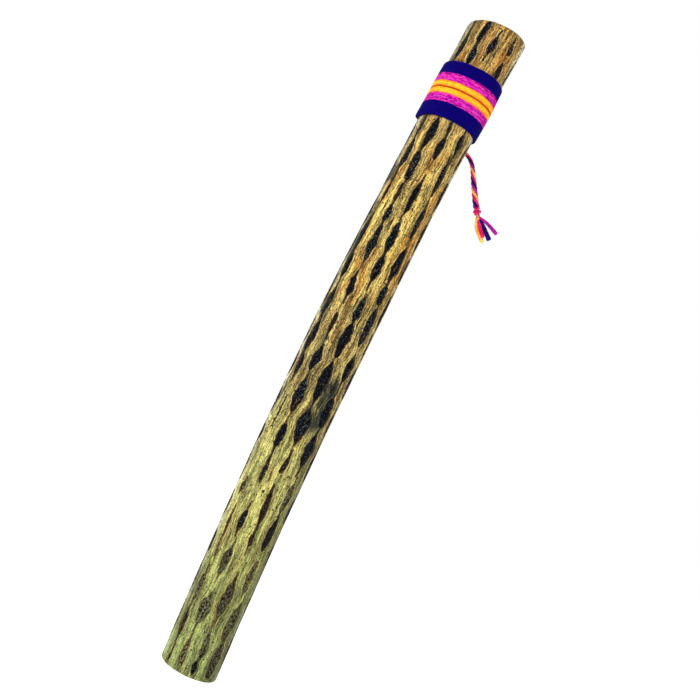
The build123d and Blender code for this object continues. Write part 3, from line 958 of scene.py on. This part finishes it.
def build_sash(material):
    """The woven sash: ribbed yarns, a soft pillow shape, slack edges, and a sag at the left."""
    low, high = box_mm("woven_band")
    z_low, z_high = low[2], high[2]
    section, outside = sash_section(z_low, z_high)
    turn = np.linspace(-math.pi, math.pi, 250, endpoint=False)[None, :]
    z = np.broadcast_to(section[:, :1], (len(section), turn.size))
    share = (z - z_low) / (z_high - z_low)
    depth = z_high - z
    number = np.floor(depth / SASH_YARN).astype(int)
    within = depth / SASH_YARN - number
    rib = np.sqrt(np.clip(1 - (2 * within - 1) ** 2, 0, 1))
    floats = np.abs(np.sin(turn * TUBE_R / SASH_FLOAT * math.pi + number * math.pi)) ** 0.5
    wave = 0.55 * waver(turn, z * 0, 5, 30, 21) + 0.45 * waver(turn, z, 12, 18, 22)
    pillow = 0.55 * np.sin(math.pi * share) ** 0.6 + 0.5 * waver(turn, z, 7, 22, 23)
    sag = 2.2 * bell((turn + 1.35) / 0.55) * (1 - share) ** 2
    tuck = 0.7 * bell((turn - 1.3) / 0.6) * smooth(2 * share - 1)
    relief = 0.1 * rib * (0.4 + 0.6 * floats) + pillow + 0.45 * sag - tuck
    radius = surface_r(turn, z) + section[:, 1:] + relief * outside
    rings = on_tube(turn, z - sag + wave * (0.5 + 0.5 * outside), radius)
    soft_depth = depth + 0.5 * waver(turn, z * 0, 30, 10, 24)
    dashes = 3 * noise2(turn, soft_depth, 80, 0.9, 25)
    yarn = yarn_colours(soft_depth, soft_depth / SASH_YARN + dashes)
    place = np.stack(np.broadcast_arrays(turn * TUBE_R, z, within), -1)
    piece = Piece("sash")
    piece.loft(rings, closed=True, yarn=yarn, yarn_place=place)
    piece.build(material, "stick", "woven_band")


# ---- yarn
def ply_place(rows, sides, length):
    """Place of each point on a ply, for its material: the angle slants with the way along it."""
    along = np.linspace(0, length, rows)[:, None]
    slant = circle(sides) + along * 1.6
    return np.stack(np.broadcast_arrays(np.cos(slant), np.sin(slant), along * 0.3), -1)


def add_ply(piece, path, radius, length, phase=0.0, closed=False):
    """One round ply along the path."""
    rings = tube(path, radius, 8, phase)
    piece.loft(rings, closed=closed, ply=ply_place(len(path), 8, length))


def add_hair(piece, path, thick, thin, sides, length):
    """One loose fibre, thinner towards its end."""
    rings = straight_tube(path, np.linspace(thick, thin, len(path)), sides)
    piece.loft(rings, ply=ply_place(len(path), sides, length))


def build_stitches(material):
    """Slanting two-ply stitches over the seam at the back of the sash."""
    piece = Piece("sash_stitches")
    t = np.linspace(0, 1, 9)
    arch = 0.75 * np.sin(t * math.pi) ** 0.5
    for points in islands("band_stitching"):
        low, high = points.min(0), points.max(0)
        rising = np.corrcoef(points[:, 0], points[:, 2])[0, 1]
        start, end = low.copy(), high.copy()
        if rising < 0:
            start[2], end[2] = high[2], low[2]
        start[1] = end[1] = low[1] - 0.35
        path = start + (end - start) * t[:, None]
        path[:, 1] += arch
        for k in range(2):
            turn = 3 * TAU * t + k * math.pi
            offset = np.stack([0 * turn, 0.2 * np.cos(turn), 0.2 * np.sin(turn)], -1)
            piece.loft(straight_tube(path + offset, 0.28, 8), ply=ply_place(len(path), 8, 6))
    piece.build(material, "stick", "band_stitching")


# ---- cord
def spline(points, step):
    """Smooth curve through points, at even steps (Catmull-Rom)."""
    points = np.asarray(points, float)
    ends = np.vstack([2 * points[0] - points[1], points, 2 * points[-1] - points[-2]])
    curve = []
    for a, b, c, d in zip(ends, ends[1:], ends[2:], ends[3:]):
        for t in np.linspace(0, 1, 24, endpoint=False):
            curve.append(0.5 * (2 * b + (c - a) * t + (2 * a - 5 * b + 4 * c - d) * t ** 2
                                + (3 * b - a - 3 * c + d) * t ** 3))
    curve = np.array(curve + [points[-1]])
    length = run_length(curve)
    even = np.linspace(0, length[-1], max(3, int(length[-1] / step)))
    return at_lengths(even, length, curve), length[-1]


def box_middle(node):
    low, high = box_mm(node)
    return (low + high) / 2


ACROSS = np.array([0.0, 1, 0])  # square to the plane that the cord bends in
CORD_STEP = 0.4
ROOT = box_middle("cord_root_knot")
KNOT = box_middle("knot_wrap") + np.array([0.3, 0.0, 2.6])  # the real knot sits a little higher
CORD_BENDS = [(1.6, -0.2), (9.5, 0.2), (18.0, -6.0), (26.2, -19.4), (36.6, -36.6)]  # from the root
KNOT_TO_END = (2.6, -4.4)
TWIST = 20.5  # length of one turn of the cord
PLY_TWIST = 6.5  # length of one turn of a strand's plies

# The thickness of a strand against its distance from the end of the twisted part.
STRAND_TAPER = [(0, 0.72), (3, 0.66), (6.5, 0.76), (9.5, 1.2), (25, 1.12), (45, 0.88), (65, 0.72)]

# Each strand: degrees round the cord at the knot, the tail's bend and tip from the knot, and its thickness.
STRANDS = {
    "navy": (11, (10.4, -0.6, -10.0), (19.8, -0.6, -18.2), 2.05),
    "magenta": (101, (12.2, 0.8, -5.6), (23.6, 0.8, -10.4), 1.6),
    "yellow": (191, (4.9, 0.0, -12.6), (15.0, 0.2, -22.6), 1.7),
    "pink": (-79, (6.4, -1.3, -10.6), (13.8, -1.3, -18.6), 1.75),
}


def cord_line():
    """The twisted part of the cord: its middle line, and the direction square to that in its plane."""
    points = [ROOT + np.array([x, 0, z]) for x, z in CORD_BENDS]
    points += [KNOT, KNOT + np.array([KNOT_TO_END[0], 0, KNOT_TO_END[1]])]
    points = np.array(points)
    points[:, 1] = ROOT[1]
    line, length = spline(points, CORD_STEP)
    up = np.cross(headings(line), ACROSS)
    return SimpleNamespace(line=line, length=length, up=up, along=np.linspace(0, length, len(line)))


def strand_path(cord, colour):
    """A strand's line, its thickness, and how loose it is: 0 in the twist, rising to 1 along its tail."""
    start_angle, bend, tip, tail_thick = STRANDS[colour]
    to_end = cord.length - cord.along
    thick = np.interp(to_end, *zip(*STRAND_TAPER))
    angle = (math.radians(start_angle) + TAU * to_end / TWIST)[:, None]
    twisted = cord.line + (ACROSS * np.cos(angle) + cord.up * np.sin(angle)) * (1.42 * thick)[:, None]
    tail = spline([twisted[-8], twisted[-1], KNOT + np.array(bend), KNOT + np.array(tip)], CORD_STEP)[0]
    skip = int(np.argmin(np.linalg.norm(tail - twisted[-1], axis=1)))
    tail = tail[skip + 1:]
    t = np.linspace(0, 1, len(tail))
    tail_taper = np.interp(t, [0, 0.2, 1], [0.8, 0.92, 1.0]) * tail_thick
    loose = np.concatenate([np.zeros(len(twisted)), t])
    return np.concatenate([twisted, tail]), np.concatenate([thick, tail_taper]), loose


def add_plies(piece, path, thick, loose):
    """Three plies wound round the strand's line, opening out along the tail."""
    run = run_length(path)
    heading = headings(path)
    left = unit(np.cross(heading, ACROSS))
    over = np.cross(heading, left)
    away = thick * (0.34 + 0.3 * loose)
    radius = thick * (0.72 - 0.16 * loose)
    radius[-3:] *= np.linspace(1, 0.82, 3)
    for k in range(3):
        turn = TAU * k / 3 - run * TAU / PLY_TWIST * (1 - 0.75 * loose)
        wander = 0.25 * loose * np.sin(run * 0.5 + k * 2)
        sideways = away * np.cos(turn)
        upwards = (away * np.sin(turn) + wander) * 0.8
        centre = path + left * sideways[:, None] + over * upwards[:, None]
        add_ply(piece, centre, radius, run[-1], phase=k)


def build_strand(cord, colour, material):
    """One strand of three plies: twisted with the others down to the knot, then loose and frayed."""
    path, thick, loose = strand_path(cord, colour)
    heading = headings(path)
    piece = Piece(f"strand_{colour}")
    add_plies(piece, path, thick, loose)
    rng = np.random.default_rng(len(colour))
    for _ in range(9):
        ending = path[-1] + rng.normal(scale=0.5, size=3)
        base = path[-7] + rng.normal(scale=0.45, size=3)
        flare = (path[-1] - path[-8]) * rng.uniform(0.1, 0.4) + rng.normal(scale=0.3, size=3)
        add_hair(piece, spline([base, ending, ending + flare], 0.4)[0], 0.16, 0.05, 5, 3)
    for _ in range(36):
        at = int(rng.integers(5, len(path) - 10))
        direction = unit(rng.normal(size=3))
        base = path[at] + direction * thick[at] * 0.7
        reach = direction + heading[at] * rng.uniform(-0.9, 0.9)
        add_hair(piece, base + np.linspace(0, 1, 5)[:, None] * reach, 0.05, 0.025, 4, 1)
    piece.build(material, "cord", f"cord_strand_{colour}")


def build_wrap(cord, material):
    """The pink yarn: nearly two turns round the strands, then a crossing turn over them."""
    piece = Piece("knot_yarn")
    t = np.linspace(0, 1, 150)
    start = cord.length - 7.8
    swell = np.sin(t * math.pi)
    # Each turn of yarn: place along the cord, distance from its middle, angle round it, thickness.
    winding = (start + 5.6 * t, 1.8 + 0.3 * swell, TAU * 1.8 * t + 2.0, 1.5)
    crossing = (start + 1.2 + 3.6 * smooth(t), 2.4 + 0.9 * swell, -0.6 - TAU * 0.42 * t, 1.1)
    for places, distance, angle, size in (winding, crossing):
        centre = at_lengths(places, cord.along, cord.line)
        rise = at_lengths(places, cord.along, cord.up)
        angle, distance = angle[:, None], distance[:, None]
        path = centre + distance * (ACROSS * np.cos(angle) + rise * np.sin(angle))
        out = unit(path - centre)
        over = np.cross(headings(path), out)
        for k in range(3):
            turn = (TAU * k / 3 + TAU * 7 * t)[:, None]
            ply = path + 0.34 * size * (out * np.cos(turn) + over * np.sin(turn))
            add_ply(piece, ply, 0.52 * size, 40, phase=0.3)
    piece.build(material, "cord", "knot_wrap")


def build_root(material):
    """Small overhand knot at the cord's root."""
    piece = Piece("root_knot")
    t = circle(150)
    radius = 1.35 + 0.55 * np.cos(3 * t)
    loop = np.stack([radius * np.cos(2 * t), 0.85 * np.sin(3 * t), radius * np.sin(2 * t)], -1)
    for k in range(2):
        turn = 9 * t + k * math.pi
        offset = 0.3 * np.stack([np.cos(turn), 0 * turn, np.sin(turn)], -1)
        add_ply(piece, ROOT + loop * 1.05 + offset, 0.62, 40, closed=True)
    piece.build(material, "cord_root", "cord_root_knot")


def build_tie(material):
    """The two lengths of yarn that tie the root knot to the sash."""
    low, high = box_mm("cord_tie")
    piece = Piece("cord_tie_yarn")
    top = np.array([low[0] - 0.4, low[1] - 0.6, high[2] + 0.8])
    for side in (-1, 1):
        sideways = np.array([0.85, -0.5, 0.0]) * 0.9 * side
        middle = (top + ROOT) / 2 + sideways * 1.2 + np.array([-1.4, 0.3, 0])
        end = ROOT + sideways * 0.6 + np.array([-1.3, 0, 0.8])
        add_ply(piece, spline([top + sideways, middle, end], 0.25)[0], 0.5, 6)
    piece.build(material, "stick", "cord_tie")


# ---- stage
WHITE = (1.0, 1.0, 1.0, 1.0)


def grey(level):
    return (level, level, level, 1.0)


def soft_light(name, place, target, size, power):
    """A rectangular lamp that faces the target."""
    data = bpy.data.lights.new(name, "AREA")
    data.shape = "RECTANGLE"
    data.size, data.size_y = size
    data.energy = power
    lamp = bpy.data.objects.new(name, data)
    bpy.context.scene.collection.objects.link(lamp)
    lamp.location = place
    lamp.rotation_euler = (Vector(target) - Vector(place)).to_track_quat("-Z", "Y").to_euler()


def build_floor():
    """A wide sheet of pale paper."""
    half = 14.0
    mesh = bpy.data.meshes.new("floor")
    corners = [(-half, -half, 0), (half, -half, 0), (half, half, 0), (-half, half, 0)]
    mesh.from_pydata(corners, [], [(0, 1, 2, 3)])
    floor = bpy.data.objects.new("floor", mesh)
    bpy.context.scene.collection.objects.link(floor)
    n = new_material("floor_paper")
    tooth = n.noise(n.add("ShaderNodeTexCoord", {}, "Object"), 60.0, 3.0)
    mesh.materials.append(n.finish(
        Base_Color=n.mix(tooth, grey(0.93), grey(0.96)), Roughness=0.9, Normal=n.bump(tooth, 0.3),
        Specular_IOR_Level=0.1, Emission_Color=WHITE, Emission_Strength=0.7,
    ))


def build_world():
    """White for the camera, and a soft light that is weaker from the right for everything else."""
    world = bpy.data.worlds.new("studio")
    bpy.context.scene.world = world
    n = Nodes(world)
    east = n.axis(n.add("ShaderNodeTexCoord", {}, "Generated"), 0)
    fade = n.add("ShaderNodeMapRange", {0: east, 1: -1.0, 2: 1.0, 3: 1.0, 4: 0.25})
    light = n.add("ShaderNodeBackground", {0: fade, 1: 0.62})
    seen = n.add("ShaderNodeBackground", {0: WHITE, 1: 1.0})
    to_camera = n.add("ShaderNodeLightPath", {}, "Is Camera Ray")
    mix = n.add("ShaderNodeMixShader", {0: to_camera, 1: light, 2: seen})
    n.node("ShaderNodeOutputWorld", {0: mix})


def build_lights():
    """A large key light in front and a softer one at each side."""
    middle = (0, 0, 0.3)
    soft_light("key", (-0.4, -1.6, 0.9), middle, (1.2, 1.2), 18)
    soft_light("fill", (1.5, -0.5, 0.4), middle, (0.6, 1.2), 11)
    soft_light("side", (-1.5, -0.4, 0.4), middle, (0.6, 1.2), 11)


def build_camera():
    """Camera in front of the stick, rolled so that the stick leans to the right in the picture."""
    place = Vector((0.0049, -0.8509, 0.2478))
    aim = Vector((0.0049, 0.0, 0.2979))
    roll = math.radians(26.0)
    data = bpy.data.cameras.new("camera")
    data.sensor_width = 36.0
    data.lens = 51.5
    camera = bpy.data.objects.new("camera", data)
    bpy.context.scene.collection.objects.link(camera)
    turn = (aim - place).to_track_quat("-Z", "Y").to_matrix()
    camera.rotation_euler = (turn @ Matrix.Rotation(roll, 3, "Z")).to_euler()
    camera.location = place
    data.clip_start, data.clip_end = 0.01, 100
    bpy.context.scene.camera = camera


# ---- the whole object
windows = find_windows()
build_shell(windows, cactus_wood())
build_pith(windows, dried_flesh())
thorn_material = thorn_horn()
for thorn_number in range(1, 13):
    build_thorns(thorn_number, thorn_material)
stone_material = river_stone()
for stone_letter in "abcd":
    build_stones(stone_letter, stone_material)
disc_material, glue_material = sawn_disc(), dried_glue()
for seed, end in enumerate(("bottom", "top")):
    build_disc(f"plug_{end}", disc_material, 60 + seed)
    build_glue(f"plug_glue_{end}", glue_material, 70 + seed)
build_sash(woven_cloth())

yarns = {
    "navy": spun_yarn("navy_yarn", srgb(10, 0, 50), srgb(32, 4, 112)),
    "magenta": spun_yarn("magenta_yarn", srgb(120, 0, 104), srgb(196, 36, 168)),
    "yellow": spun_yarn("yellow_yarn", srgb(226, 112, 30), srgb(255, 214, 96)),
    "pink": spun_yarn("pink_yarn", srgb(168, 0, 78), srgb(240, 44, 112)),
}
build_stitches(yarns["navy"])
cord = cord_line()
for yarn_name in STRANDS:
    build_strand(cord, yarn_name, yarns[yarn_name])
build_wrap(cord, yarns["pink"])
build_root(yarns["navy"])
build_tie(yarns["pink"])

build_floor()
build_world()
build_lights()
build_camera()
bpy.context.scene.view_settings.view_transform = "Standard"
